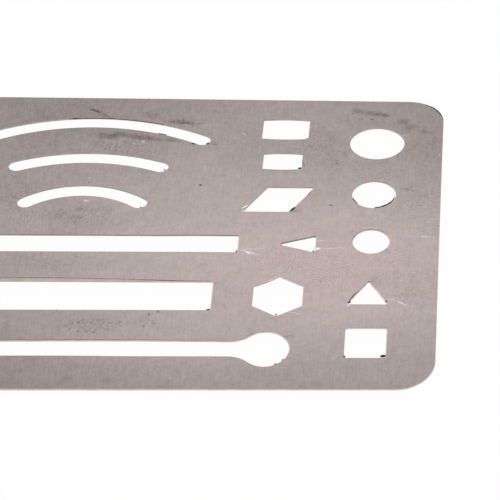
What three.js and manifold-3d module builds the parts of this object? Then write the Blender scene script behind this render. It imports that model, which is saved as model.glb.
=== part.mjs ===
// An erasing shield: one thin sheet of stainless steel with shaped openings to rub through,
// curled a little by handling.
//
// Millimetres. The origin is under the middle of the sheet, on the surface that it lies on.
// +X runs along the sheet to the column of round, three-sided and square openings, +Y to the
// nested arcs, +Z up.

import Module from 'manifold-3d';
import * as THREE from 'three';
import { mergeVertices } from 'three/addons/utils/BufferGeometryUtils.js';

// Sheet
const SHEET_LENGTH = 98.5;
const SHEET_WIDTH = 60;
const SHEET_THICKNESS = 0.25;
const SHEET_CORNER_RADIUS = 5;

// Curl: the sheet is part of a wide cylinder that bulges upwards. Its crown crosses the middle
// of the sheet, turned by the skew from the long sides towards the square opening.
const CURL_RADIUS = 335;
const CURL_SKEW = THREE.MathUtils.degToRad(8.3);

// Shape column, from the top: three round openings, a three-sided one and a square one
const LARGE_ROUND = 7.6;
const MEDIUM_ROUND = 6;
const SMALL_ROUND = 5;
const TRIANGLE_SIDE = 5.4;
const SQUARE_SIDE = 5.4;
const SHAPE_END_MARGIN = 5.35;
const SHAPE_TOP_MARGIN = 6.74;
const SHAPE_BOTTOM_MARGIN = 5.4;
const SHAPE_BRIDGES = [5.01, 4.53, 5.5, 4.38];

// Window column: two windows with bowed long sides over a parallelogram
const WINDOW_LENGTH = 6.55;
const WINDOW_HEIGHT = 5;
const SMALL_WINDOW_LENGTH = 5.45;
const SMALL_WINDOW_HEIGHT = 3.9;
const WINDOW_BOW = 0.2;
const PARALLELOGRAM_SIDE = 6.5;
const PARALLELOGRAM_HEIGHT = 5.43;
const PARALLELOGRAM_ANGLE = THREE.MathUtils.degToRad(60);
const WINDOW_TOP_MARGIN = 4.85;
const WINDOW_BRIDGES = [3.23, 3.92, 5.03];
const COLUMN_BRIDGE = 5.92;

// Hexagon beside the wide slot, and wedge that points at the end of the narrow slot
const HEXAGON_ACROSS_FLATS = 6.6;
const WEDGE_LENGTH = 5.25;
const WEDGE_HEIGHT = 3.44;
const WEDGE_TO_ROUND = 4.95;

// Nested arcs: half the chord of each as a share of the field beside the windows, its rise
// over that chord, and the width of the cut
const ARC_REACHES = [0.649, 0.424, 0.33];
const ARC_RISES = [4.01, 1.97, 2.61];
const ARC_WIDTH = 2.3;

// Long slots, and the bulb at the end of the lowest
const NARROW_SLOT_HEIGHT = 3.42;
const WIDE_SLOT_HEIGHT = 5.43;
const KEYHOLE_SLOT_HEIGHT = 2.67;
const BULB_DIAMETER = 6.3;
const BULB_BLEND_RADIUS = 4.2;
const NARROW_SLOT_TO_WEDGE = 5.77;
const WIDE_SLOT_TO_HEXAGON = 5.47;

// Arcs and slots share one column
const FIELD_TOP_MARGIN = 5.05;
const FIELD_BOTTOM_MARGIN = 3.8;
const FIELD_BRIDGES = [2.08, 3.07, 5.58, 5.8, 3.87];

// Left end: graded dots along the edge, and graded short slots beside the arcs
const LARGEST_DOT = 4.2;
const SMALLEST_DOT = 1.4;
const DOT_COUNT = 6;
const DOT_TO_SLOT = 4.5;
const SHORT_SLOT_LENGTH = 6.55;
const SHORT_SLOT_HEIGHTS = [3, 2.4, 1.8, 1.2];
const SHORT_SLOT_BRIDGE = 4;

// Rounding of the corners of the openings
const CORNER_RADIUS = 0.25;
const CHORD_ERROR = 0.006;

const steel = new THREE.MeshStandardMaterial({
  color: 0xa89e9a,
  metalness: 0.85,
  roughness: 0.42,
});

const wasm = await Module();
wasm.setup();

// Points along a circular arc, enough to keep each chord within CHORD_ERROR of it.
function arcPoints(centre, radius, from, to) {
  const step = 2 * Math.acos(1 - CHORD_ERROR / radius);
  const count = Math.max(2, Math.ceil(Math.abs(to - from) / step));
  return Array.from({ length: count + 1 }, (_, i) => {
    const angle = from + ((to - from) * i) / count;
    return new THREE.Vector2(Math.cos(angle), Math.sin(angle)).multiplyScalar(radius).add(centre);
  });
}

// Where one arc ends and the next starts, the outline keeps a single point.
function withoutRepeats(outline) {
  const tolerance = CHORD_ERROR / 10;
  return outline.filter((point, i) => point.distanceTo(outline.at(i - 1)) > tolerance);
}

// A closed outline through the corners, each rounded by a fillet of the given radius.
function roundedOutline(corners, radius) {
  return corners.flatMap((corner, i) => {
    const back = corners.at(i - 1).clone().sub(corner).normalize();
    const ahead = corners[(i + 1) % corners.length].clone().sub(corner).normalize();
    const half = back.angleTo(ahead) / 2;
    const inward = back.clone().add(ahead).normalize();
    const centre = corner.clone().addScaledVector(inward, radius / Math.sin(half));
    const start = corner.clone().addScaledVector(back, radius / Math.tan(half)).sub(centre);
    const end = corner.clone().addScaledVector(ahead, radius / Math.tan(half)).sub(centre);
    const turn = Math.atan2(start.cross(end), start.dot(end));
    return arcPoints(centre, radius, start.angle(), start.angle() + turn);
  });
}

function roundOpening(diameter) {
  const circle = arcPoints(new THREE.Vector2(), diameter / 2, 0, 2 * Math.PI);
  return circle.slice(0, -1);
}

function rectangle(length, height, radius) {
  const x = length / 2;
  const y = height / 2;
  const corners = [[-x, -y], [x, -y], [x, y], [-x, y]].map(([u, v]) => new THREE.Vector2(u, v));
  return roundedOutline(corners, radius);
}

// A regular polygon whose first corner lies at the given turn from +X.
function polygon(sides, circumradius, turn) {
  const corners = Array.from({ length: sides }, (_, i) => {
    const angle = turn + (2 * Math.PI * i) / sides;
    return new THREE.Vector2(Math.cos(angle), Math.sin(angle)).multiplyScalar(circumradius);
  });
  return roundedOutline(corners, CORNER_RADIUS);
}

// A window whose two long sides bow outwards.
function bowedWindow(length, height) {
  const half = length / 2;
  const radius = (half * half + WINDOW_BOW * WINDOW_BOW) / (2 * WINDOW_BOW);
  const sweep = Math.asin(half / radius);
  const drop = height / 2 - radius;
  const up = Math.PI / 2;
  const top = arcPoints(new THREE.Vector2(0, drop), radius, up - sweep, up + sweep);
  const bottom = arcPoints(new THREE.Vector2(0, -drop), radius, -up - sweep, -up + sweep);
  return [...top, ...bottom];
}

function parallelogram(side, height, angle) {
  const lean = height / Math.tan(angle) / 2;
  const x = side / 2;
  const y = height / 2;
  const corners = [[-x - lean, -y], [x - lean, -y], [x + lean, y], [-x + lean, y]];
  return roundedOutline(corners.map(([u, v]) => new THREE.Vector2(u, v)), CORNER_RADIUS);
}

// A long triangle that points to -X, with its base at +X.
function wedge(length, height) {
  const x = length / 2;
  const y = height / 2;
  const corners = [[-x, 0], [x, -y], [x, y]].map(([u, v]) => new THREE.Vector2(u, v));
  return roundedOutline(corners, CORNER_RADIUS);
}

// A curved slot with round ends, its crown at the origin.
function arcSlot(reach, rise, width) {
  const radius = (reach * reach + rise * rise) / (2 * rise);
  const sweep = Math.atan2(reach, radius - rise);
  const centre = new THREE.Vector2(0, -radius);
  const up = Math.PI / 2;
  const left = new THREE.Vector2(-reach, -rise);
  const right = new THREE.Vector2(reach, -rise);
  return [
    ...arcPoints(centre, radius + width / 2, up - sweep, up + sweep),
    ...arcPoints(left, width / 2, up + sweep, up + sweep + Math.PI),
    ...arcPoints(centre, radius - width / 2, up + sweep, up - sweep),
    ...arcPoints(right, width / 2, -up - sweep, up - sweep),
  ];
}

// A slot that widens through two blends into a round bulb at the origin.
function keyhole(tail) {
  const half = KEYHOLE_SLOT_HEIGHT / 2;
  const bulb = BULB_DIAMETER / 2;
  const blendHeight = half + BULB_BLEND_RADIUS;
  const blendBack = Math.sqrt((bulb + BULB_BLEND_RADIUS) ** 2 - blendHeight ** 2);
  const meet = Math.atan2(blendHeight, blendBack);
  const up = Math.PI / 2;
  const over = new THREE.Vector2(-blendBack, blendHeight);
  const under = new THREE.Vector2(-blendBack, -blendHeight);
  const upperEnd = new THREE.Vector2(-tail + CORNER_RADIUS, half - CORNER_RADIUS);
  const lowerEnd = new THREE.Vector2(-tail + CORNER_RADIUS, CORNER_RADIUS - half);
  return [
    ...arcPoints(under, BULB_BLEND_RADIUS, up, meet),
    ...arcPoints(new THREE.Vector2(), bulb, meet - Math.PI, Math.PI - meet),
    ...arcPoints(over, BULB_BLEND_RADIUS, -meet, -up),
    ...arcPoints(upperEnd, CORNER_RADIUS, up, 2 * up),
    ...arcPoints(lowerEnd, CORNER_RADIUS, 2 * up, 3 * up),
  ];
}

function box(outline) {
  return new THREE.Box2().setFromPoints(outline);
}

function moved(outline, x, y) {
  return outline.map((point) => new THREE.Vector2(point.x + x, point.y + y));
}

// The heights at which openings lie one under another between two lines. The metal that they
// leave is shared out below them in the proportions of the bridges.
function stackHeights(outlines, top, bottom, bridges) {
  const boxes = outlines.map(box);
  const filled = boxes.reduce((sum, { min, max }) => sum + max.y - min.y, 0);
  const shares = bridges.reduce((sum, bridge) => sum + bridge, 0);
  const scale = (top - bottom - filled) / shares;
  let edge = top;
  return boxes.map(({ min, max }, i) => {
    const height = edge - max.y;
    edge = height + min.y - (bridges[i] ?? 0) * scale;
    return height;
  });
}

// Middles of the columns, from the right end of the sheet inwards, and the edge of the field
// that the arcs share
const endX = SHEET_LENGTH / 2;
const edgeY = SHEET_WIDTH / 2;
const shapeX = endX - SHAPE_END_MARGIN - LARGE_ROUND / 2;
const windowX = shapeX - LARGE_ROUND / 2 - COLUMN_BRIDGE - WINDOW_LENGTH / 2;
const fieldX = windowX - WINDOW_LENGTH / 2;
const wedgeX = shapeX - SMALL_ROUND / 2 - WEDGE_TO_ROUND - WEDGE_LENGTH / 2;
const hexagonX = shapeX - SQUARE_SIDE / 2 - COLUMN_BRIDGE - HEXAGON_ACROSS_FLATS / 2;

function shapeColumn() {
  const upright = Math.PI / 2;
  const outlines = [
    roundOpening(LARGE_ROUND),
    roundOpening(MEDIUM_ROUND),
    roundOpening(SMALL_ROUND),
    polygon(3, TRIANGLE_SIDE / Math.sqrt(3), upright),
    rectangle(SQUARE_SIDE, SQUARE_SIDE, CORNER_RADIUS),
  ];
  const top = edgeY - SHAPE_TOP_MARGIN;
  const bottom = SHAPE_BOTTOM_MARGIN - edgeY;
  const heights = stackHeights(outlines, top, bottom, SHAPE_BRIDGES);
  return outlines.map((outline, i) => moved(outline, shapeX, heights[i]));
}

// The left ends of the long slots line up beside the dots.
const slotStartX = LARGEST_DOT / 2 + DOT_TO_SLOT - shapeX;

function straightSlot(endAtX, height) {
  const length = endAtX - slotStartX;
  return moved(rectangle(length, height, CORNER_RADIUS), slotStartX + length / 2, 0);
}

function field() {
  const wedgeTip = box(wedge(WEDGE_LENGTH, WEDGE_HEIGHT)).min.x + wedgeX;
  const hexagonSide = hexagonX - HEXAGON_ACROSS_FLATS / 2;
  const arcs = ARC_REACHES.map((share, i) => arcSlot(share * fieldX, ARC_RISES[i], ARC_WIDTH));
  const outlines = [
    ...arcs,
    straightSlot(wedgeTip - NARROW_SLOT_TO_WEDGE, NARROW_SLOT_HEIGHT),
    straightSlot(hexagonSide - WIDE_SLOT_TO_HEXAGON, WIDE_SLOT_HEIGHT),
    moved(keyhole(windowX - slotStartX), windowX, 0),
  ];
  const top = edgeY - FIELD_TOP_MARGIN;
  const bottom = FIELD_BOTTOM_MARGIN - edgeY;
  const heights = stackHeights(outlines, top, bottom, FIELD_BRIDGES);
  return { outlines: outlines.map((outline, i) => moved(outline, 0, heights[i])), heights };
}

const { outlines: fieldOutlines, heights: fieldHeights } = field();
const narrowSlotY = fieldHeights[ARC_REACHES.length];
const wideSlotY = fieldHeights[ARC_REACHES.length + 1];

function windowColumn() {
  const outlines = [
    bowedWindow(WINDOW_LENGTH, WINDOW_HEIGHT),
    bowedWindow(SMALL_WINDOW_LENGTH, SMALL_WINDOW_HEIGHT),
    parallelogram(PARALLELOGRAM_SIDE, PARALLELOGRAM_HEIGHT, PARALLELOGRAM_ANGLE),
  ];
  const top = edgeY - WINDOW_TOP_MARGIN;
  const bottom = narrowSlotY + WEDGE_HEIGHT / 2;
  const heights = stackHeights(outlines, top, bottom, WINDOW_BRIDGES);
  const sixth = Math.PI / 6;
  return [
    ...outlines.map((outline, i) => moved(outline, windowX, heights[i])),
    moved(wedge(WEDGE_LENGTH, WEDGE_HEIGHT), wedgeX, narrowSlotY),
    moved(polygon(6, HEXAGON_ACROSS_FLATS / 2 / Math.cos(sixth), sixth), hexagonX, wideSlotY),
  ];
}

function dotColumn() {
  const outlines = Array.from({ length: DOT_COUNT }, (_, i) => {
    const share = i / (DOT_COUNT - 1);
    return roundOpening(THREE.MathUtils.lerp(LARGEST_DOT, SMALLEST_DOT, share));
  });
  const top = edgeY - SHAPE_TOP_MARGIN;
  const bottom = SHAPE_BOTTOM_MARGIN - edgeY;
  const bridges = Array(DOT_COUNT - 1).fill(1);
  const heights = stackHeights(outlines, top, bottom, bridges);
  return outlines.map((outline, i) => moved(outline, -shapeX, heights[i]));
}

function shortSlotColumn() {
  const outlines = SHORT_SLOT_HEIGHTS.map((height) => rectangle(SHORT_SLOT_LENGTH, height, height / 2));
  const top = edgeY - WINDOW_TOP_MARGIN;
  const bottom = narrowSlotY + NARROW_SLOT_HEIGHT / 2;
  const heights = stackHeights(outlines, top, bottom, outlines.map(() => SHORT_SLOT_BRIDGE));
  return outlines.map((outline, i) => moved(outline, -windowX, heights[i]));
}

// A closed geometry as a solid for cutting, and back.
function solidOf(geometry) {
  geometry.deleteAttribute('normal');
  geometry.deleteAttribute('uv');
  const { attributes, index } = mergeVertices(geometry);
  const vertProperties = attributes.position.array;
  const triVerts = Uint32Array.from(index.array);
  return new wasm.Manifold(new wasm.Mesh({ numProp: 3, vertProperties, triVerts }));
}

function geometryOf(solid) {
  const { vertProperties, triVerts } = solid.getMesh();
  const geometry = new THREE.BufferGeometry();
  geometry.setAttribute('position', new THREE.BufferAttribute(vertProperties, 3));
  geometry.setIndex(new THREE.BufferAttribute(triVerts, 1));
  return geometry;
}

// A curled plate that reaches past the sheet all round. Flat facets stand for the cylinder,
// within CHORD_ERROR of it, and the middle facet is level.
function curledBlank() {
  const length = Math.hypot(SHEET_LENGTH, SHEET_WIDTH);
  const facet = 2 * Math.acos(1 - CHORD_ERROR / CURL_RADIUS);
  const besideMiddle = Math.ceil(length / 2 / CURL_RADIUS / facet);
  const turns = Array.from({ length: 2 * besideMiddle + 2 }, (_, i) => (i - besideMiddle - 0.5) * facet);
  const arc = (radius) => turns.map((turn) => {
    return new THREE.Vector2(radius * Math.sin(turn), radius * Math.cos(turn) - CURL_RADIUS);
  });
  const section = new THREE.Shape([...arc(CURL_RADIUS), ...arc(CURL_RADIUS + SHEET_THICKNESS).reverse()]);
  const blank = new THREE.ExtrudeGeometry(section, { depth: length, bevelEnabled: false });
  const across = new THREE.Vector3(Math.sin(CURL_SKEW), Math.cos(CURL_SKEW), 0);
  const up = new THREE.Vector3(0, 0, 1);
  const along = across.clone().cross(up);
  return blank.translate(0, 0, -length / 2).applyMatrix4(new THREE.Matrix4().makeBasis(across, up, along));
}

function shieldPlate() {
  const sheet = new THREE.Shape(rectangle(SHEET_LENGTH, SHEET_WIDTH, SHEET_CORNER_RADIUS));
  const openings = [
    ...shapeColumn(),
    ...windowColumn(),
    ...fieldOutlines,
    ...dotColumn(),
    ...shortSlotColumn(),
  ];
  sheet.holes = openings.map((outline) => new THREE.Path(withoutRepeats(outline)));
  const punch = new THREE.ExtrudeGeometry(sheet, { depth: SHEET_WIDTH, bevelEnabled: false });
  punch.translate(0, 0, -SHEET_WIDTH / 2);
  const geometry = geometryOf(solidOf(curledBlank()).intersect(solidOf(punch)));
  geometry.computeBoundingBox();
  geometry.translate(0, 0, -geometry.boundingBox.min.z);
  geometry.computeVertexNormals();
  const plate = new THREE.Mesh(geometry, steel);
  plate.name = 'shield_plate';
  return plate;
}

const shield = new THREE.Group();
shield.add(shieldPlate());

export default shield;
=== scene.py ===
import math
import random

import bmesh
import bpy
from mathutils import Matrix, Vector


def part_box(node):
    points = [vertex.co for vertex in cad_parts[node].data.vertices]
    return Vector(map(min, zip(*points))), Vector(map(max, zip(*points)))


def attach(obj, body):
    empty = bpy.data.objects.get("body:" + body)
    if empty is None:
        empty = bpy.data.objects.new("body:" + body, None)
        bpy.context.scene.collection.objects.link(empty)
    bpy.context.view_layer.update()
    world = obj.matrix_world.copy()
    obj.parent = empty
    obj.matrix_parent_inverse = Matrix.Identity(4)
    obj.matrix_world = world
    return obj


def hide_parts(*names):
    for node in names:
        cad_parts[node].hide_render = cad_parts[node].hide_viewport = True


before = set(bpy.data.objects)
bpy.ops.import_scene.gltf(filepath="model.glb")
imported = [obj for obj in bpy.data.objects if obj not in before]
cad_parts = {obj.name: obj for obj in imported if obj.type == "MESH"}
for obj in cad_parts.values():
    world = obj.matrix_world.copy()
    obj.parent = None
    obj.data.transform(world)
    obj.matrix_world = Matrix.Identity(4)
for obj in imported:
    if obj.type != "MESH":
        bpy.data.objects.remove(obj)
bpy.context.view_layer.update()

# An erasing shield: one thin steel sheet, slightly curled, lying on a white floor.
# Marks and edges are placed in millimetres on the sheet: x along it, y across it, 0, 0 in its middle.
MM = 0.001
rng = random.Random(7)

SHEET_WIDTH = 60.0
SHEET_THICKNESS = 0.25

# Middles of the round rims that carry dark slivers
MEDIUM_ROUND = (40.1, 7.645)
SMALL_ROUND = (40.1, -2.385)
ARC_SLOTS = (0.0, -8.02)
UPPER_RIGHT_CORNER = (44.25, 25.0)

# The curl: part of a wide cylinder whose crown crosses the sheet's middle, turned from its long sides
CURL_RADIUS = 335.0
CURL_SKEW = math.radians(8.3)
CURL_CELL = 3.0

# Rims of the sheet and its openings: rolled over on the upper face, almost sharp below
RIM_ROLL = 0.07
RIM_STEPS = 2
FOOT_ROLL = 0.02
FOOT_STEPS = 1

# Rims that face left, as at the right end of an opening, are made wider and carry a painted highlight: by
# how much, and the most that the x of their normal is
RIGHT_RIM_WIDENING = 0.1
FACES_LEFT = -0.3

# The most that two faces turn within a flat face, the least at a line that shows, and the least at a rim
FLAT_ANGLE = math.radians(0.5)
SHARP_ANGLE = math.radians(20)
RIM_ANGLE = math.radians(60)

# The upright share of a normal: over LEVEL on the sheet's face, under UPRIGHT on a wall, between on a rim
LEVEL = 0.99
UPRIGHT = 0.1

# How near counts as the same, in metres: for corners that merge, and for a height or a cut
MERGE_DISTANCE = 1e-6
SAME_HEIGHT = 1e-7

# A corner less than this below the upper face, in mm, belongs to it
TOP_MARGIN = 0.001

# Places of the materials on the sheet
FACE_SLOT, WALL_SLOT, RIM_SLOT, RIGHT_RIM_SLOT = range(4)

# Dark slivers: their sides, how many steps before the path their taper starts, its least value
# before the root is taken, and how their girth varies
SLIVER_SIDES = 7
SLIVER_END = 0.3
SLIVER_THINNEST = 0.25
SLIVER_SPREAD = (0.7, 1.15)

# A sliver along an uneven edge: its steps, and how far above the edge it runs
WANDERING_STEPS = 60
WANDERING_OFFSET = 0.09

# Dark lumps and chips of steel: half height, spread of size, how deep a chip sits
LUMP_HALF_HEIGHT = 0.11
LUMP_SPREAD = (0.8, 1.15)
CHIP_SINK = 0.1

# Colours of the steel's face and of what is on it
COOL_GREY = (0.404, 0.359, 0.350, 1)
WARM_GREY = (0.430, 0.356, 0.341, 1)
MARK_BLACK = (0.045, 0.032, 0.03, 1)
SCRATCH_WHITE = (0.95, 0.88, 0.86, 1)
BURR_BLACK = (0.012, 0.008, 0.006, 1)
BURR_BROWN = (0.10, 0.07, 0.05, 1)

# Tints of the walls and the rims: y on the sheet and colour, from the lower long side to the upper. They
# are painted light and shade: the walls are painted paler low on the sheet, a painted reflection of the
# lit floor, and darker higher up, painted shade
WALL_LIGHT_AND_SHADE = [
    (-30, (0.68, 0.55, 0.49)),
    (-10.6, (0.72, 0.58, 0.51)),
    (-9, (0.70, 0.56, 0.49)),
    (-4, (0.45, 0.39, 0.36)),
    (-1.2, (0.33, 0.29, 0.275)),
    (0, (0.62, 0.52, 0.46)),
    (4, (0.43, 0.39, 0.375)),
    (30, (0.43, 0.39, 0.375)),
]
# Rim tints: the darker bands are painted shade along the rims, and the pale band near y -10 is a painted
# highlight
RIM_LIGHT_AND_SHADE = [
    (-30, (0.50, 0.41, 0.37)),
    (-28, (0.50, 0.41, 0.37)),
    (-26, (0.38, 0.305, 0.27)),
    (-10.45, (0.36, 0.30, 0.27)),
    (-10.3, (0.76, 0.64, 0.58)),
    (-9.8, (0.76, 0.64, 0.58)),
    (-9, (0.36, 0.30, 0.27)),
    (-1, (0.42, 0.36, 0.34)),
    (4, (0.47, 0.42, 0.405)),
    (30, (0.47, 0.42, 0.405)),
]
# Tints of the rims that face left: lighter than the other rims, a painted highlight
RIGHT_RIM_HIGHLIGHT = [
    (-30, (0.66, 0.49, 0.42)),
    (-8, (0.66, 0.49, 0.42)),
    (4, (0.58, 0.48, 0.44)),
    (30, (0.46, 0.40, 0.385)),
]
WALL_ROUGHNESS = 0.42
RIM_ROUGHNESS = 0.38
BURR_ROUGHNESS = 0.5
BURR_METALLIC = 0.6

# Layers of noise in the steel: size along x, size along y, shift, weight
GRAIN = [
    (0.18, 2.4, 1.0, 0.25),
    (0.5, 3.5, 2.0, 0.13),
]
MOTTLE = [
    (0.24, 0.26, 3.0, 0.21),
    (0.7, 0.7, 4.0, 0.18),
    (2.2, 1.7, 5.0, 0.14),
]

# The steel's tone before marks, and the most that dark and bright marks cover it
BARE_TONE = 0.755
MOST_DARK = 0.95
MOST_BRIGHT = 1.0

# Weights: of the cloudy tone, of the mottle added where the steel is pitted, and of the warmer patches
CLOUDY_WEIGHT = 0.09
PITTED_MOTTLE = 0.4
WARM_PATCHES = 0.7

# Roughness of the clean face, and what dark marks and grain add to it
FACE_ROUGHNESS = 0.36
DARK_ROUGHNESS = 0.2
GRAIN_ROUGHNESS = 0.25

# Relief of the grain, of a cut edge and of the dark burrs: depth and strength
GRAIN_RELIEF = (0.01, 0.5)
CUT_RELIEF = (0.01, 0.4)
BURR_RELIEF = (0.05, 0.5)

# A stroke is drawn as a soft oval, wider than its width because its border fades
STROKE_WIDENING = 1.3
STROKE_SOFTNESS = 0.6

# The share of a speck's radius that has its full strength
SPECK_CORE = 0.25

# A ragged outline: how fine it is, and how far it moves a mark's border
RAGGED_SCALE = 1.6
RAGGED_REACH = 0.35

# Finger ridges: distance between them, how far they stray, and the wave texture's scale for one a mm
RIDGE_SPACING = 0.43
RIDGE_STRAY = {"Distortion": 17.0, "Detail": 2.0, "Detail Scale": 0.45}
WAVE_SCALE = 2 * math.pi / 20

# The floor: half its side in metres, how far it lies under the sheet, its white and its glow
FLOOR_HALF_SIDE = 2.0
FLOOR_DROP = 0.02
PAPER_WHITE = (0.92, 0.92, 0.92, 1)
PURE_WHITE = (1, 1, 1, 1)
PAPER_GLOW = 0.975

# Light: the room's strength, and the window's size and distance in metres, its power and its place
ROOM_STRENGTH = 0.74
WINDOW_SIZE = (0.5, 0.3)
WINDOW_POWER = 0.42
WINDOW_DISTANCE = 1.0
WINDOW_DIRECTION = (-0.05, 0.742, 0.668)
WINDOW_MIRRORED_AT = (36, -6, 2)

# The camera: the way it looks, where it aims on the sheet, how far off it is, and its lens
CAMERA_AZIMUTH = math.radians(6.66)
CAMERA_ELEVATION = math.radians(41.3219)
CAMERA_ROLL = math.radians(-4.0956)
CAMERA_AIM = (23.9, -4.3117)
CAMERA_DISTANCE = 403.355
CAMERA_SENSOR = 36
CAMERA_LENS = 216
CAMERA_CLIP = (0.01, 20)

# Long edges that wander: edge y, middle x, reach along x, how far the upper rim and the lower rim move
UNEVEN_EDGES = [
    (-10.57, -5.0, 20.0, 0.38, 0.06),
    (-21.71, 6.0, 20.0, 0.18, 0.16),
    (-24.38, -3.0, 12.0, 0.10, 0.10),
    (-1.32, 18.0, 6.0, 0.08, 0.08),
    (-30.0, 0.0, 50.0, -0.04, -0.10),
]
# How far into the steel an uneven edge takes the face with it
UNEVEN_DEPTH = 1.2

# Dark strokes on the steel: from x, y to x, y, half width, strength
DARK_STROKES = [
    (-1.6, 27.3, 0.7, 26.1, 0.21, 0.65),
    (0.2, 26.2, 2.5, 24.7, 0.14, 0.45),
    (-0.3, 26.2, 0.8, 25.1, 0.12, 0.2),
    (-2.8, 28.4, -2.5, 28.2, 0.12, 0.25),
    (10.2, 24.3, 11.2, 24.1, 0.16, 0.28),
    (11.6, 23.9, 14.1, 23.7, 0.18, 0.28),
    (12.1, 25.2, 12.5, 24.2, 0.13, 0.35),
    (13.7, 23.6, 13.9, 22.9, 0.12, 0.3),
    (14.2, 23.7, 15.3, 24.0, 0.13, 0.4),
    (16.9, 18.8, 17.8, 18.8, 0.14, 0.3),
    (34.1, 5.2, 34.7, 5.1, 0.16, 0.55),
    (29.8, 15.7, 30.3, 13.3, 0.12, 0.28),
    (43.5, 9.3, 46.1, 8.1, 0.07, 0.36),
    (43.6, 8.0, 46.0, 10.0, 0.07, 0.36),
    (40.2, 11.8, 41.6, 12.9, 0.1, 0.2),
    (32.8, 15.8, 34.5, 15.4, 0.12, 0.2),
    (34.4, 15.6, 34.9, 14.0, 0.12, 0.22),
    (24.7, -19.5, 25.9, -19.9, 0.08, 0.2),
    (-1.1, 3.2, 0.1, 4.9, 0.08, 0.2),
    (4.4, 0.4, 7.9, 1.9, 0.08, 0.18),
    (-10.8, 11.6, -9.8, 10.7, 0.1, 0.2),
    (35.2, 17.7, 36.3, 15.9, 0.2, 0.18),
    (-1.3, -1.1, 0.8, -1.1, 0.08, 0.3),
    (1.8, -0.9, 2.2, -0.8, 0.1, 0.4),
    (36.1, 26.8, 36.6, 26.8, 0.13, 0.4),
    (7.3, -8.9, 7.3, -9.8, 0.07, 0.15),
    (10.2, -9.4, 10.2, -10.1, 0.08, 0.15),
    (11.2, -9.1, 11.2, -10.1, 0.08, 0.15),
]

# Bright scratches, with the same columns
BRIGHT_STROKES = [
    (20.8, 21.8, 21.5, 21.1, 0.08, 0.35),
    (19.7, 20.4, 20.5, 20.4, 0.07, 0.25),
    (43.5, 21.4, 44.2, 21.5, 0.08, 0.35),
    (40.8, 10.6, 41.4, 11.2, 0.08, 0.3),
    (44.2, -1.2, 46.6, -1.3, 0.05, 0.3),
    (46.6, -1.3, 47.7, -1.3, 0.07, 0.6),
    (47.6, -1.3, 49.1, -1.5, 0.05, 0.35),
    (22.3, -4.2, 25.6, -5.5, 0.08, 0.38),
    (22.3, -4.2, 24.2, -4.8, 0.12, 0.22),
    (22.4, -4.2, 26.0, -4.0, 0.09, 0.3),
    (23.4, -4.7, 24.0, -5.2, 0.16, 0.45),
    (23.1, -4.7, 24.8, -4.9, 0.09, 0.25),
    (32.4, -4.05, 33.3, -3.9, 0.24, 0.95),
    (33.2, -4.0, 36.8, -3.7, 0.06, 0.45),
    (33.1, -4.3, 34.7, -4.2, 0.06, 0.25),
    (32.7, -2.4, 34.0, -2.2, 0.06, 0.4),
    (29.5, -16.2, 31.9, -16.8, 0.06, 0.4),
    (42.5, -13.9, 43.8, -14.0, 0.07, 0.35),
    (43.7, -14.0, 45.4, -15.1, 0.1, 0.5),
    (43.0, -13.6, 44.9, -13.7, 0.06, 0.2),
    (22.1, 4.3, 23.1, 5.2, 0.11, 0.8),
    (22.2, 3.8, 22.8, 3.8, 0.08, 1.2),
    (35.6, -3.7, 36.4, -3.7, 0.06, 0.2),
    (6.6, -8.9, 6.6, -9.7, 0.07, 0.12),
    (7.0, -8.9, 7.0, -9.7, 0.07, 0.12),
    (7.9, -8.9, 8.0, -9.8, 0.08, 0.16),
    (39.4, 4.1, 39.6, 3.1, 0.06, 0.22),
    (39.8, 4.1, 39.9, 3.1, 0.06, 0.22),
    (40.2, 4.1, 40.3, 3.2, 0.06, 0.16),
    (38.8, 0.2, 40.0, 0.5, 0.07, 0.3),
    (39.9, 0.5, 41.1, 0.1, 0.07, 0.3),
]

# Dark specks and pits: x, y, radius, strength
DARK_SPECKS = [
    (16.1, 9.4, 0.3, 0.9), (-8, 17.6, 0.2, 0.32), (0.5, 9.7, 0.2, 0.6), (-10.6, 9.1, 0.2, 0.25),
    (-4.5, -27, 0.3, 0.32), (3.8, 1.8, 0.3, 0.22), (0.1, 4.1, 0.3, 0.29), (0.1, 2.2, 0.3, 0.25),
    (7, 26.3, 0.3, 0.25), (8.4, 25.9, 0.3, 0.23), (7.8, 24.9, 0.3, 0.22),
    (37.7, 25.4, 0.3, 0.32), (39.1, 25.4, 0.3, 0.5), (38.3, 26.1, 0.3, 0.25), (45.8, 24.8, 0.3, 0.29),
    (0.8, 18.6, 0.3, 0.22), (1.6, 19, 0.3, 0.25), (1.9, 17.5, 0.3, 0.22),
    (-0.5, -19.1, 0.3, 0.22), (0.6, -19, 0.3, 0.25), (1.1, -19.6, 0.3, 0.22), (1.3, -18.5, 0.3, 0.23),
    (2.2, -18.4, 0.3, 0.29), (2.3, -19.9, 0.3, 0.29), (3.3, -20, 0.3, 0.29),
    (4.4, -20.1, 0.3, 0.29), (6.2, -19.5, 0.3, 0.29), (6.9, -19.7, 0.3, 0.25),
    (7.6, -18.3, 0.3, 0.25), (7.9, -19, 0.2, 0.25), (11.3, -16.8, 0.3, 0.25), (12.5, -16.3, 0.3, 0.6),
    (12.1, -18.5, 0.3, 0.25), (10.8, -19, 0.3, 0.22), (31.1, 21.1, 0.3, 0.25), (30.9, 18.5, 0.3, 0.25),
    (48.9, 1, 0.2, 0.29),
]

# Bright specks, with the same columns
BRIGHT_SPECKS = [
    (7.1, 19.3, 0.3, 0.4), (6.5, 18.7, 0.2, 0.25), (0.5, 5.8, 0.3, 0.45), (0.8, 5.8, 0.2, 0.35),
    (36.0, -24.7, 0.3, 0.16), (36.4, 24.4, 0.2, 0.18), (48.9, 16.7, 0.2, 0.4), (42.8, -26.5, 0.3, 0.1),
    (37.6, -15.0, 0.3, 0.5),
]

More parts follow.
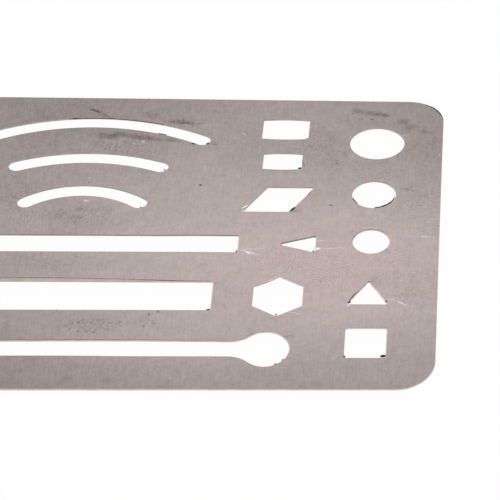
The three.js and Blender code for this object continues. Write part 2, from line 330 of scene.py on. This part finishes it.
# Smudges: x, y, half length, half width, turn in degrees, strength
SMUDGES = [
    (1.3, 20.7, 1.1, 1.1, -15, 0.26),
    (2.5, 20.3, 1.2, 0.9, 0, 0.26),
    (3.5, 21.0, 1.6, 1.0, -4, 0.28),
    (5.6, 20.5, 1.5, 0.9, -12, 0.26),
    (7.2, 20.3, 1.5, 1.0, -8, 0.26),
    (8.7, 19.9, 1.8, 0.7, -6, 0.24),
    (11.0, 19.7, 1.1, 0.8, -14, 0.3),
    (12.2, 19.4, 0.7, 0.3, -14, 0.2),
    (36.8, 27.5, 1.1, 0.9, -14, 0.26),
    (38.0, 27.1, 1.1, 1.0, -14, 0.22),
    (39.2, 26.8, 1.1, 1.0, -14, 0.26),
    (40.3, 26.6, 1.1, 0.9, -14, 0.26),
    (41.1, 26.4, 0.9, 0.5, -14, 0.30),
    (43.2, 24.8, 0.7, 0.9, 0, 0.2),
    (43.9, 24.9, 0.8, 1.3, 0, 0.22),
    (44.3, 23.4, 0.7, 1.1, 0, 0.2),
    (45.0, 23.6, 1.1, 0.8, 10, 0.18),
    (46.8, 22.3, 1.5, 0.7, -10, 0.18),
    (48.0, 20.4, 0.4, 2.4, 0, 0.12),
    (12.2, 24.1, 2.6, 0.8, -4, 0.24),
    (7.8, 25.7, 1.0, 0.8, -20, 0.14),
    (1.9, -28.2, 1.0, 0.8, 0, 0.16),
    (7.0, -28.6, 0.8, 1.0, 0, 0.14),
]

# Pitted patches: x, y, half length, half width, turn, strength
PITTED = [
    (4.7, 17.7, 6.2, 2.8, -8, 1.5),
    (4.0, -18.8, 4.9, 1.8, 0, 1.6),
    (11.6, -17.9, 1.9, 1.8, 0, 1.1),
    (-0.7, 3.2, 7.5, 3.6, 0, 1.0),
    (5.6, 20.5, 6.4, 1.3, -6, 1.3),
    (12.0, 24.0, 3.0, 1.2, -6, 1.8),
    (7.6, 25.7, 1.8, 1.6, 0, 1.2),
    (32.4, 18.9, 3.8, 4.9, 0, 1.2),
    (34.4, 14.2, 2.7, 2.8, 0, 0.9),
    (-8.6, 5.9, 3.5, 7.0, 0, 1.0),
    (45.7, 6.5, 4.9, 5.3, 0, 0.7),
    (45.6, -12.0, 4.7, 5.3, 0, 0.7),
    (-1.6, -6.9, 9.6, 2.4, 0, 0.6),
]

# Finger marks, ridges round a middle: middle x, y, patch x, y, half length, half width, turn, strength
FINGER_MARKS = [
    (27.00, -6.00, 27.8, -6.6, 5.8, 4.6, 0, 0.20),
    (31.80, -14.20, 34.6, -8.4, 5.0, 5.8, 20, 0.24),
    (48.20, -12.60, 42.4, -6.6, 4.4, 4.6, 0, 0.22),
    (-12.00, 1.40, -7.0, 2.0, 2.8, 3.4, 0, 0.15),
    (49.00, -4.00, 46.6, 3.0, 3.4, 6.0, 0, 0.16),
    (41.00, 4.00, 41.4, 13.0, 4.0, 3.0, 0, 0.16),
]

# Areas cleaner or, where the strength is below 0, duller: x, y, half length, half width, turn, strength.
# The wide bright area round the middle right, with the dulling towards the far left and the long edges,
# is partly cleaner steel and partly a painted reflection of the window
SHEEN_AND_CLEAN_AREAS = [
    (30.0, -8.0, 62.0, 40.0, 0, 0.26),
    (29.0, 29.0, 28.0, 15.0, 0, 0.15),
    (15.0, -22.5, 32.0, 8.0, 0, 0.09),
    (15.5, 15.0, 7.0, 12.0, 0, 0.06),
    (39.0, -16.0, 14.0, 7.0, 0, 0.07),
    (-6.0, 24.0, 14.0, 10.0, 0, -0.08),
    (-0.4, 1.5, 9.0, 5.5, 0, -0.09),
    (-7.0, 12.0, 10.0, 9.0, 0, -0.05),
    (48.0, 14.0, 6.0, 14.0, 0, -0.05),
]

# Areas of a warmer grey, with the same columns
WARM_AREAS = [
    (36.0, -7.0, 26.0, 16.0, 0, 0.5),
    (0.0, -12.0, 90.0, 34.0, 0, 0.2),
]

# Lumps in the corners of openings: x, y, half length, half width, turn, how deep they sit
CORNER_BURRS = [
    (19.15, -15.92, 0.32, 0.13, 8, 0.02),
    (22.06, -4.52, 0.10, 0.14, -30, 0.02),
    (29.60, 13.42, 0.30, 0.13, 12, 0.02),
    (29.10, 4.25, 0.13, 0.62, -36, 0.0),
    (32.45, -4.46, 0.13, 0.09, 0, 0.03),
    (37.72, -14.42, 0.22, 0.15, 20, 0.02),
    (42.55, -14.22, 0.13, 0.17, 10, 0.02),
    (37.48, -24.35, 0.14, 0.22, 40, 0.02),
    (42.45, -24.25, 0.42, 0.27, 12, 0.02),
    (8.25, 4.45, 0.12, 0.09, 0, 0.02),
    (10.78, 12.75, 0.13, 0.09, 0, 0.02),
    (16.30, 18.98, 0.26, 0.12, 25, 0.0),
    (14.30, 18.92, 0.35, 0.09, -18, 0.0),
    (32.50, -1.42, 0.07, 0.06, 0, 0.03),
    (40.10, -10.48, 0.10, 0.11, 0, 0.03),
    (28.28, -16.70, 0.07, 0.10, 0, 0.03),
    (-3.20, 24.75, 0.50, 0.08, 0, 0.03),
]

# Chips of bare steel on the rims: x, y, half length, half width, turn
RIM_CHIPS = [
    (30.25, 20.42, 0.24, 0.26, 0),
    (28.60, -25.72, 0.28, 0.16, 30),
    (29.60, -24.96, 0.26, 0.20, 50),
    (28.15, -16.85, 0.08, 0.26, 20),
    (6.88, 30.0, 0.28, 0.10, 0),
    (8.3, 30.0, 0.2, 0.07, 0),
    (-3.6, -24.36, 0.18, 0.08, 0),
    (5.4, -24.34, 0.2, 0.08, 0),
    (-1.0, -16.0, 0.25, 0.07, 0),
    (10.15, 14.80, 0.12, 0.14, 0),
]

# Bent dark slivers: the left side of the three-sided opening, and the keyhole's left shoulder
THREE_SIDED_LEFT = [(37.7, -14.25), (37.9, -13.7), (38.2, -13.1), (38.6, -12.6), (39.0, -12.25)]
SHOULDER = [(23.4, -21.5), (24.1, -21.15), (24.7, -20.65), (25.3, -20.2), (26.0, -19.98), (26.9, -19.92)]


# Small helpers


def curl(x, y):
    """Height of the sheet at x, y against its crown, in mm."""
    from_crown = x * math.sin(CURL_SKEW) + y * math.cos(CURL_SKEW)
    return math.sqrt(CURL_RADIUS ** 2 - from_crown ** 2) - CURL_RADIUS


def finish_mesh(bm, name, materials):
    """Turns a bmesh into an object at the origin."""
    mesh = bpy.data.meshes.new(name)
    bm.to_mesh(mesh)
    bm.free()
    for material in materials:
        mesh.materials.append(material)
    piece = bpy.data.objects.new(name, mesh)
    bpy.context.scene.collection.objects.link(piece)
    return piece


def node(tree, kind, inputs=None, **settings):
    """Adds one shader node; inputs are plain values or the sockets that feed them."""
    new = tree.nodes.new("ShaderNode" + kind)
    for name, value in settings.items():
        setattr(new, name, value)
    for key, value in (inputs or {}).items():
        if isinstance(value, bpy.types.NodeSocket):
            tree.links.new(value, new.inputs[key])
        else:
            new.inputs[key].default_value = value
    return new


def calc(tree, operation, *values):
    """One step of arithmetic on numbers."""
    return node(tree, "Math", dict(enumerate(values)), operation=operation).outputs[0]


def vector_calc(tree, operation, *values):
    """One step of arithmetic on places or colours."""
    return node(tree, "VectorMath", dict(enumerate(values)), operation=operation).outputs[0]


def shade(tree, colour, tone):
    """A colour made lighter or darker by a tone about 1."""
    return node(tree, "VectorMath", {0: colour, "Scale": tone}, operation="SCALE").outputs[0]


def mix(tree, share, first, second):
    """The first colour where share is 0, the second where it is 1."""
    return node(tree, "MixRGB", {0: share, 1: first, 2: second}).outputs[0]


def remap(tree, value, low, high, to_low=0.0, to_high=1.0):
    """A smooth step from low to high; it holds at both ends by itself."""
    ends = {"Value": value, "From Min": low, "From Max": high, "To Min": to_low, "To Max": to_high}
    return node(tree, "MapRange", ends, interpolation_type="SMOOTHSTEP", clamp=False).outputs[0]


def new_material(name):
    """A material without nodes, and its node tree."""
    material = bpy.data.materials.new(name)
    material.use_nodes = True
    tree = material.node_tree
    tree.nodes.clear()
    return material, tree


def on_sheet(tree):
    """The place on the sheet in mm, seen from above."""
    spot = node(tree, "TexCoord").outputs["Object"]
    return vector_calc(tree, "MULTIPLY", spot, (1 / MM, 1 / MM, 0))


def flat_noise(tree, place, scale, detail):
    """Noise that changes along the sheet and across it."""
    settings = {"Vector": place, "Scale": scale, "Detail": detail}
    return node(tree, "TexNoise", settings, noise_dimensions="2D").outputs


def cloud(tree, place, size_x, size_y, detail=1.0, shift=0.0):
    """Soft noise about 0.5, its lumps size_x by size_y mm."""
    scaled = node(tree, "Mapping", {
        "Vector": place,
        "Location": (shift, 2 * shift, 0),
        "Scale": (1 / size_x, 1 / size_y, 0),
    }).outputs[0]
    return flat_noise(tree, scaled, 1.0, detail)["Fac"]


def oval(tree, place, x, y, half_x, half_y, turn, strength, soft=0.7):
    """A soft oval of the given strength, 0 outside it."""
    local = node(tree, "Mapping", {
        "Vector": place,
        "Location": (x, y, 0),
        "Rotation": (0, 0, math.radians(turn)),
        "Scale": (half_x, half_y, 1),
    }, vector_type="TEXTURE").outputs[0]
    reach = node(tree, "VectorMath", {0: local}, operation="LENGTH").outputs["Value"]
    return remap(tree, reach, 1 - soft, 1.0, to_low=strength, to_high=0.0)


def stroke(tree, place, x0, y0, x1, y1, half_width, strength):
    """A thin mark from one point to another, tapering to both."""
    dx, dy = x1 - x0, y1 - y0
    x, y = (x0 + x1) / 2, (y0 + y1) / 2
    half_length = math.hypot(dx, dy) / 2 + half_width
    widened = STROKE_WIDENING * half_width
    turn = math.degrees(math.atan2(dy, dx))
    return oval(tree, place, x, y, half_length, widened, turn, strength, soft=STROKE_SOFTNESS)


def speck(tree, place, x, y, radius, strength):
    """A soft round dot of the given strength, 0 outside it."""
    reach = node(tree, "VectorMath", {0: place, 1: (x, y, 0)}, operation="DISTANCE").outputs["Value"]
    return remap(tree, reach, SPECK_CORE * radius, radius, to_low=strength, to_high=0.0)


def gather(tree, shape, place, marks, start=0.0, **settings):
    """Adds up marks of one shape, each a row of a list."""
    total = start
    for mark in marks:
        total = calc(tree, "ADD", total, shape(tree, place, *mark, **settings))
    return total


def layers(tree, place, rows):
    """Adds up noises about 0, each a row of a list."""
    total = 0.0
    for size_x, size_y, shift, weight in rows:
        lumps = calc(tree, "SUBTRACT", cloud(tree, place, size_x, size_y, shift=shift), 0.5)
        total = calc(tree, "MULTIPLY_ADD", lumps, weight, total)
    return total


def ramp(tree, value, stops):
    """A colour that runs through stops, each a position from 0 to 1 and a colour."""
    new = node(tree, "ValToRGB", {0: value})
    ends = new.color_ramp.elements
    ends[0].position, ends[0].color = stops[0][0], (*stops[0][1], 1)
    ends[1].position, ends[1].color = stops[-1][0], (*stops[-1][1], 1)
    for position, colour in stops[1:-1]:
        ends.new(position).color = (*colour, 1)
    return new.outputs[0]


def surface(tree, colour, roughness, height, relief, metallic=1.0):
    """Ends a material: its colour, its roughness and a fine relief of the given depth and strength."""
    depth, strength = relief
    bump = node(tree, "Bump", {"Height": height, "Distance": depth * MM, "Strength": strength})
    shader = node(tree, "BsdfPrincipled", {
        "Base Color": colour,
        "Metallic": metallic,
        "Roughness": roughness,
        "Normal": bump.outputs[0],
    })
    node(tree, "OutputMaterial", {"Surface": shader.outputs[0]})


# The steel's face


def ragged(tree, place):
    """The place pushed about a little, which roughens the outline of a mark."""
    push = flat_noise(tree, place, RAGGED_SCALE, 1.0)["Color"]
    push = vector_calc(tree, "SUBTRACT", push, (0.5, 0.5, 0.5))
    return vector_calc(tree, "MULTIPLY_ADD", push, (RAGGED_REACH, RAGGED_REACH, 0), place)


def dark_marks(tree, place, pitted):
    """Strokes, specks, smudges and pits, 0 where the steel is clean and towards 1 where it is black."""
    rough_place = ragged(tree, place)
    total = gather(tree, stroke, rough_place, DARK_STROKES)
    total = gather(tree, speck, rough_place, DARK_SPECKS, total)

    tooth = cloud(tree, place, 0.7, 0.35, detail=2.0, shift=3.0)
    tooth = remap(tree, tooth, 0.25, 0.7, to_low=0.7, to_high=1.2)
    smudged = gather(tree, oval, rough_place, SMUDGES)
    total = calc(tree, "MULTIPLY_ADD", smudged, tooth, total)

    pits = cloud(tree, place, 0.33, 0.3, shift=4.0)
    pits = remap(tree, pits, 0.48, 0.66, to_low=0.0, to_high=0.2)
    return calc(tree, "MULTIPLY_ADD", pits, pitted, total)


def bright_marks(tree, place):
    """Scratches and specks that shine, 0 where there is none."""
    total = gather(tree, stroke, place, BRIGHT_STROKES)
    return gather(tree, speck, place, BRIGHT_SPECKS, total)


def finger_ridges(tree, place):
    """Ridges left by fingers, as a small change of tone about 0."""
    total = 0.0
    for x, y, *patch in FINGER_MARKS:
        local = node(tree, "Mapping", {"Vector": place, "Location": (-x, -y, 0), "Scale": (1, 1, 0)})
        wave = {"Vector": local.outputs[0], "Scale": WAVE_SCALE / RIDGE_SPACING, **RIDGE_STRAY}
        rings = node(tree, "TexWave", wave, wave_type="RINGS", rings_direction="Z").outputs["Fac"]
        ridge = calc(tree, "SUBTRACT", rings, 0.5)
        total = calc(tree, "MULTIPLY_ADD", ridge, oval(tree, place, *patch, soft=0.6), total)
    broken = cloud(tree, place, 0.5, 0.5, shift=21.0)
    broken = remap(tree, broken, 0.4, 0.6, to_low=0.1, to_high=1.5)
    return calc(tree, "MULTIPLY", total, broken)


def sheen_and_handling_tone(tree, place):
    """Broad dulling towards the far left and the long edges, partly tarnish and partly the painted
    falloff of the window's reflection, and cloudy patches, as a factor about 1.
    """
    tone = gather(tree, oval, place, SHEEN_AND_CLEAN_AREAS, BARE_TONE, soft=1.0)
    cloudy = cloud(tree, place, 9.0, 5.0, detail=2.0, shift=5.0)
    return calc(tree, "MULTIPLY_ADD", cloudy, CLOUDY_WEIGHT, tone)


def mottle_tone(tree, place, pitted, start):
    """A fine mottle, stronger where the steel is pitted."""
    mottle = layers(tree, place, MOTTLE)
    share = calc(tree, "MULTIPLY_ADD", pitted, PITTED_MOTTLE, 1.0)
    return calc(tree, "MULTIPLY_ADD", mottle, share, start)


def bare_grey(tree, place):
    """The steel's own grey, warmer in some areas."""
    warmth = gather(tree, oval, place, WARM_AREAS, soft=1.0)
    patches = cloud(tree, place, 1.8, 1.4, detail=2.0, shift=9.0)
    warmth = calc(tree, "MULTIPLY_ADD", patches, WARM_PATCHES, warmth)
    return mix(tree, warmth, COOL_GREY, WARM_GREY)


def brushed_steel():
    """Stainless steel brushed across the sheet, dulled, pitted, scratched and handled, with a painted
    broad reflection in its tone.
    """
    material, tree = new_material("brushed_steel")
    place = on_sheet(tree)
    pitted = gather(tree, oval, place, PITTED, soft=0.9)
    dark = dark_marks(tree, place, pitted)
    bright = bright_marks(tree, place)
    grain = layers(tree, place, GRAIN)

    # The broad tone is partly a painted reflection of the window and partly handling
    tone = calc(tree, "ADD", sheen_and_handling_tone(tree, place), grain)
    tone = mottle_tone(tree, place, pitted, tone)
    tone = calc(tree, "ADD", tone, finger_ridges(tree, place))
    colour = shade(tree, bare_grey(tree, place), tone)
    colour = mix(tree, calc(tree, "MINIMUM", dark, MOST_DARK), colour, MARK_BLACK)
    colour = mix(tree, calc(tree, "MINIMUM", bright, MOST_BRIGHT), colour, SCRATCH_WHITE)

    rough = calc(tree, "MULTIPLY_ADD", dark, DARK_ROUGHNESS, FACE_ROUGHNESS)
    rough = calc(tree, "MULTIPLY_ADD", grain, GRAIN_ROUGHNESS, rough)
    surface(tree, colour, rough, grain, GRAIN_RELIEF)
    return material


# Edges and residue


def cut_steel(name, tints, roughness):
    """A cut or rolled edge; its tint, which holds painted light and shade, changes with y, from the lower
    long side to the upper.
    """
    material, tree = new_material(name)
    place = on_sheet(tree)
    y = node(tree, "SeparateXYZ", {0: place}).outputs["Y"]
    share = calc(tree, "MULTIPLY_ADD", y, 1 / SHEET_WIDTH, 0.5)
    stops = [((tint_y + SHEET_WIDTH / 2) / SHEET_WIDTH, tint) for tint_y, tint in tints]
    colour = ramp(tree, share, stops)
    uneven = cloud(tree, place, 2.2, 0.5, detail=2.0, shift=6.0)
    uneven = remap(tree, uneven, 0.3, 0.7, to_low=0.92, to_high=1.08)
    surface(tree, shade(tree, colour, uneven), roughness, uneven, CUT_RELIEF)
    return material


def dark_burrs():
    """The dark finish of the lumps in the corners and of the slivers along some rims."""
    material, tree = new_material("dark_burrs")
    lumps = cloud(tree, on_sheet(tree), 0.12, 0.12, detail=2.0, shift=8.0)
    colour = mix(tree, lumps, BURR_BLACK, BURR_BROWN)
    surface(tree, colour, BURR_ROUGHNESS, lumps, BURR_RELIEF, BURR_METALLIC)
    return material


def white_paper():
    """The floor: white to the eye and in the steel, and shaded faintly by what lies on it."""
    material, tree = new_material("white_paper")
    ray = node(tree, "LightPath").outputs
    seen = calc(tree, "MAXIMUM", ray["Is Camera Ray"], ray["Is Glossy Ray"])
    seen = calc(tree, "MAXIMUM", seen, ray["Is Transmission Ray"])
    paper = node(tree, "BsdfDiffuse", {"Color": PAPER_WHITE})
    glow = node(tree, "Emission", {"Color": PURE_WHITE, "Strength": 1.0})
    share = calc(tree, "MULTIPLY", seen, PAPER_GLOW)
    both = node(tree, "MixShader", {0: share, 1: paper.outputs[0], 2: glow.outputs[0]})
    node(tree, "OutputMaterial", {"Surface": both.outputs[0]})
    return material


# The sheet


def press_flat(bm, crown):
    """Presses the curl out, the underside at height 0, and makes each flat face one again."""
    for vert in bm.verts:
        x, y, z = vert.co / MM
        on_top = z - crown - curl(x, y) > SHEET_THICKNESS / 2
        vert.co.z = SHEET_THICKNESS * MM if on_top else 0.0
    bmesh.ops.dissolve_limit(
        bm, angle_limit=FLAT_ANGLE, use_dissolve_boundaries=False,
        verts=bm.verts, edges=bm.edges, delimit=set(),
    )
    bm.normal_update()


def roll_rims(bm):
    """Rolls the upper rims over, and the lower ones a little."""
    for height, roll, steps in ((SHEET_THICKNESS, RIM_ROLL, RIM_STEPS), (0.0, FOOT_ROLL, FOOT_STEPS)):
        rims = [
            edge for edge in bm.edges
            if edge.calc_face_angle() > RIM_ANGLE
            and all(abs(vert.co.z - height * MM) < SAME_HEIGHT for vert in edge.verts)
        ]
        bmesh.ops.bevel(
            bm, geom=rims, offset=roll * MM, offset_type="OFFSET", affect="EDGES", segments=steps,
            profile=0.5, material=-1, clamp_overlap=True, loop_slide=False,
        )
        bm.normal_update()


def sort_faces(bm):
    """Gives each face its material by the way that it faces."""
    for face in bm.faces:
        face.smooth = True
        tilt = abs(face.normal.z)
        if tilt > LEVEL:
            face.material_index = FACE_SLOT
        elif tilt < UPRIGHT:
            face.material_index = WALL_SLOT
        # Rims that face left take the lighter rim material, a painted highlight
        elif face.normal.x < FACES_LEFT:
            face.material_index = RIGHT_RIM_SLOT
        else:
            face.material_index = RIM_SLOT


def widen_right_rims(bm):
    """Moves the upper edge of each rim that faces left, which makes the rim wider."""
    for vert in bm.verts:
        rims = [face for face in vert.link_faces if face.material_index != FACE_SLOT]
        on_top = vert.co.z > (SHEET_THICKNESS - TOP_MARGIN) * MM
        if on_top and rims and all(face.material_index == RIGHT_RIM_SLOT for face in rims):
            vert.co.x += RIGHT_RIM_WIDENING * MM
    bm.normal_update()


def cut_cells(bm, low, high):
    """Cuts the sheet along a grid, so that it can bend, and then into triangles."""
    for axis, normal in enumerate((Vector((1, 0, 0)), Vector((0, 1, 0)))):
        length = high[axis] - low[axis]
        cells = math.ceil(length / (CURL_CELL * MM))
        for i in range(1, cells):
            place = normal * (low[axis] + i * length / cells)
            bmesh.ops.bisect_plane(
                bm, geom=bm.verts[:] + bm.edges[:] + bm.faces[:], dist=SAME_HEIGHT,
                plane_co=place, plane_no=normal, clear_inner=False, clear_outer=False,
            )
    bmesh.ops.triangulate(bm, faces=bm.faces[:], quad_method="BEAUTY", ngon_method="BEAUTY")


def wander(x, y, on_top):
    """How far an uneven edge takes the steel at x, y along with it, in mm."""
    for edge_y, middle_x, reach, top_shift, foot_shift in UNEVEN_EDGES:
        away = abs(y - edge_y)
        if away < UNEVEN_DEPTH and abs(x - middle_x) < reach:
            shift = top_shift if on_top else foot_shift
            fade = min(1.0, (UNEVEN_DEPTH - away) / (UNEVEN_DEPTH - RIM_ROLL))
            return shift * fade * math.cos((x - middle_x) / reach * math.pi / 2)
    return 0.0


def bend(bm):
    """Lets the edges wander, curls the sheet and sets it on the floor; returns its lift in mm."""
    for vert in bm.verts:
        x, y, z = vert.co / MM
        y += wander(x, y, z > SHEET_THICKNESS / 2)
        vert.co = Vector((x, y, z + curl(x, y))) * MM
    lift = -min(vert.co.z for vert in bm.verts)
    bmesh.ops.translate(bm, verts=bm.verts, vec=(0, 0, lift))
    bm.normal_update()
    return lift / MM


def curled_sheet(materials):
    """The sheet with its openings: pressed flat, its rims rolled and those that face left made wider,
    then curled again.
    """
    bm = bmesh.new()
    bm.from_mesh(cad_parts["shield_plate"].data)
    bmesh.ops.remove_doubles(bm, verts=bm.verts, dist=MERGE_DISTANCE)
    low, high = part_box("shield_plate")
    press_flat(bm, high[2] / MM - SHEET_THICKNESS)
    roll_rims(bm)
    sort_faces(bm)
    widen_right_rims(bm)
    for edge in bm.edges:
        edge.smooth = edge.calc_face_angle() < SHARP_ANGLE
    cut_cells(bm, low, high)
    lift = bend(bm)
    piece = finish_mesh(bm, "curled_sheet", materials)
    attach(piece, "root")
    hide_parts("shield_plate")
    return lift


# What sits on the rims


def top_of_sheet(x, y, lift):
    """Height of the sheet's upper face at x, y."""
    return lift + SHEET_THICKNESS + curl(x, y)


def arc_path(middle, radius, from_angle, to_angle, steps):
    """Points along an arc; angles in degrees."""
    x, y = middle
    angles = [math.radians(from_angle + (to_angle - from_angle) * i / steps) for i in range(steps + 1)]
    return [(x + radius * math.cos(a), y + radius * math.sin(a)) for a in angles]


def line_path(x0, y0, x1, y1, steps):
    """Points along a straight line."""
    return [(x0 + (x1 - x0) * i / steps, y0 + (y1 - y0) * i / steps) for i in range(steps + 1)]


def wandering_path(edge, from_x, to_x, inset):
    """Points along an uneven edge's upper rim, moved on by inset in the edge's middle."""
    edge_y, middle_x, reach, top_shift = edge[:4]
    rim_y = edge_y + WANDERING_OFFSET
    path = []
    for x, y in line_path(from_x, rim_y, to_x, rim_y, WANDERING_STEPS):
        share = min(1.0, abs(x - middle_x) / reach)
        path.append((x, y + (top_shift + inset) * math.cos(share * math.pi / 2)))
    return path


def sliver(bm, path, girth, sink, lift):
    """A ragged, tapering sliver along a path of x, y points, its middle sink mm under the top face."""
    rings = []
    last = len(path) - 1
    for i, (x, y) in enumerate(path):
        ahead, behind = path[min(i + 1, last)], path[max(i - 1, 0)]
        heading = math.atan2(ahead[1] - behind[1], ahead[0] - behind[0])
        along = (i + SLIVER_END) / (last + 2 * SLIVER_END)
        taper = max(SLIVER_THINNEST, math.sin(math.pi * along)) ** 0.5
        radius = girth * taper * rng.uniform(*SLIVER_SPREAD)
        place = (
            Matrix.Translation(Vector((x, y, top_of_sheet(x, y, lift) - sink)) * MM)
            @ Matrix.Rotation(heading, 4, "Z") @ Matrix.Rotation(math.radians(90), 4, "Y")
        )
        ring = bmesh.ops.create_circle(
            bm, cap_ends=i in (0, last), segments=SLIVER_SIDES, radius=radius * MM, matrix=place,
        )["verts"]
        touching = {edge for vert in ring for edge in vert.link_edges}
        rings.append([edge for edge in touching if edge.verts[0] in ring and edge.verts[1] in ring])
    for near, far in zip(rings, rings[1:]):
        bmesh.ops.bridge_loops(bm, edges=near + far)


def lump(bm, x, y, half_x, half_y, turn, sink, lift):
    """A small rough lump, its middle sink mm under the top face."""
    made = bmesh.ops.create_icosphere(bm, subdivisions=2, radius=MM)["verts"]
    for vert in made:
        vert.co *= rng.uniform(*LUMP_SPREAD)
    bmesh.ops.scale(bm, verts=made, vec=(half_x, half_y, LUMP_HALF_HEIGHT))
    turned = Matrix.Rotation(math.radians(turn), 3, "Z")
    bmesh.ops.rotate(bm, verts=made, cent=(0, 0, 0), matrix=turned)
    middle = Vector((x, y, top_of_sheet(x, y, lift) - sink))
    bmesh.ops.translate(bm, verts=made, vec=middle * MM)


def finish_edges(bm, name, material):
    """Turns what was put on the rims into a piece of the steel sheet."""
    bmesh.ops.recalc_face_normals(bm, faces=bm.faces)
    for face in bm.faces:
        face.smooth = True
    piece = finish_mesh(bm, name, [material])
    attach(piece, "root")


def corner_burrs(lift, material):
    """Dark lumps in the corners of the openings."""
    bm = bmesh.new()
    for burr in CORNER_BURRS:
        lump(bm, *burr, lift)
    finish_edges(bm, "corner_burrs", material)


def rim_slivers(lift, material):
    """Dark slivers along some rims: each has a path, a girth and how deep it sits."""
    bm = bmesh.new()
    wide_slot_edge, keyhole_edge = UNEVEN_EDGES[:2]
    for path, girth, sink in (
        (arc_path(MEDIUM_ROUND, 2.90, -86, -12, 18), 0.12, 0.02),
        (arc_path(MEDIUM_ROUND, 2.94, 196, 224, 8), 0.08, 0.02),
        (arc_path(UPPER_RIGHT_CORNER, 4.92, 4, 62, 16), 0.10, 0.01),
        (arc_path(ARC_SLOTS, 32.94, 97, 86, 14), 0.06, 0.06),
        (arc_path(ARC_SLOTS, 32.94, 86, 73, 16), 0.045, 0.06),
        (arc_path(ARC_SLOTS, 30.72, 72.8, 70.4, 5), 0.07, 0.0),
        (arc_path(SMALL_ROUND, 2.5, 172, 146, 8), 0.045, 0.04),
        (arc_path(SMALL_ROUND, 2.58, 140, 52, 20), 0.02, 0.0),
        (wandering_path(wide_slot_edge, -12.0, 12.0, 0.15), 0.025, 0.0),
        (wandering_path(wide_slot_edge, 8.0, 18.9, 0.15), 0.04, 0.0),
        (wandering_path(keyhole_edge, -13.0, 22.0, 0.0), 0.015, 0.0),
        (line_path(28.0, -2.96, 32.5, -1.40, 14), 0.017, 0.04),
        (line_path(28.0, -2.97, 29.2, -2.55, 5), 0.06, 0.05),
        (THREE_SIDED_LEFT, 0.07, 0.02),
        (line_path(38.98, -12.3, 40.08, -10.45, 7), 0.04, 0.03),
        (line_path(40.12, -10.45, 41.0, -12.0, 6), 0.028, 0.03),
        (line_path(31.0, 7.3, 31.6, 8.55, 5), 0.04, 0.0),
        (line_path(25.0, -11.6, 28.1, -9.85, 10), 0.035, 0.03),
        (SHOULDER, 0.04, 0.03),
    ):
        sliver(bm, path, girth, sink, lift)
    finish_edges(bm, "rim_slivers", material)


def rim_chips(lift, material):
    """Small tabs and bumps of bare steel that stand out from the rims."""
    bm = bmesh.new()
    for chip in RIM_CHIPS:
        lump(bm, *chip, CHIP_SINK, lift)
    finish_edges(bm, "rim_chips", material)


# Stage, light and camera


def floor():
    """A wide white floor, a hair under the sheet."""
    bm = bmesh.new()
    bmesh.ops.create_grid(bm, x_segments=1, y_segments=1, size=FLOOR_HALF_SIDE)
    bmesh.ops.translate(bm, verts=bm.verts, vec=(0, 0, -FLOOR_DROP * MM))
    finish_mesh(bm, "floor", [white_paper()])


def soft_room():
    """Even white light from all round."""
    world = bpy.data.worlds.new("soft_room")
    bpy.context.scene.world = world
    world.use_nodes = True
    tree = world.node_tree
    tree.nodes.clear()
    light = node(tree, "Background", {"Color": PURE_WHITE, "Strength": ROOM_STRENGTH})
    node(tree, "OutputWorld", {"Surface": light.outputs[0]})


def window_light():
    """A soft panel behind the sheet, mirrored in its right half."""
    data = bpy.data.lights.new("window_light", "AREA")
    data.shape = "RECTANGLE"
    data.size, data.size_y = WINDOW_SIZE
    data.energy = WINDOW_POWER
    lamp = bpy.data.objects.new("window_light", data)
    bpy.context.scene.collection.objects.link(lamp)
    direction = Vector(WINDOW_DIRECTION).normalized()
    lamp.location = Vector(WINDOW_MIRRORED_AT) * MM + direction * WINDOW_DISTANCE
    lamp.rotation_mode = "QUATERNION"
    lamp.rotation_quaternion = direction.to_track_quat("Z", "Y")


def camera(lift):
    """The photograph's viewing angle: a long lens, low over the near edge, turned a little."""
    data = bpy.data.cameras.new("camera")
    data.sensor_width = CAMERA_SENSOR
    data.lens = CAMERA_LENS
    data.clip_start, data.clip_end = CAMERA_CLIP
    eye = bpy.data.objects.new("camera", data)
    bpy.context.scene.collection.objects.link(eye)
    back = Vector((
        math.sin(CAMERA_AZIMUTH) * math.cos(CAMERA_ELEVATION),
        -math.cos(CAMERA_AZIMUTH) * math.cos(CAMERA_ELEVATION),
        math.sin(CAMERA_ELEVATION),
    ))
    right = Vector((0, 0, 1)).cross(back).normalized()
    level = Matrix((right, back.cross(right), back)).transposed()
    rolled_over = level @ Matrix.Rotation(CAMERA_ROLL, 3, "Z")
    aim = Vector((*CAMERA_AIM, lift + SHEET_THICKNESS)) * MM
    eye.matrix_world = Matrix.Translation(aim + back * CAMERA_DISTANCE * MM) @ rolled_over.to_4x4()
    bpy.context.scene.camera = eye


# The walls and rims take painted light and shade from their tints; the rims that face left are a lighter
# copy, a painted highlight
wall = cut_steel("cut_wall", WALL_LIGHT_AND_SHADE, WALL_ROUGHNESS)
rolled = cut_steel("rolled_rim", RIM_LIGHT_AND_SHADE, RIM_ROUGHNESS)
right_ends = cut_steel("rolled_right_ends", RIGHT_RIM_HIGHLIGHT, RIM_ROUGHNESS)
sheet_lift = curled_sheet([brushed_steel(), wall, rolled, right_ends])
dark_burr_finish = dark_burrs()
corner_burrs(sheet_lift, dark_burr_finish)
rim_slivers(sheet_lift, dark_burr_finish)
rim_chips(sheet_lift, rolled)
floor()
soft_room()
window_light()
camera(sheet_lift)
bpy.context.scene.view_settings.view_transform = "Standard"
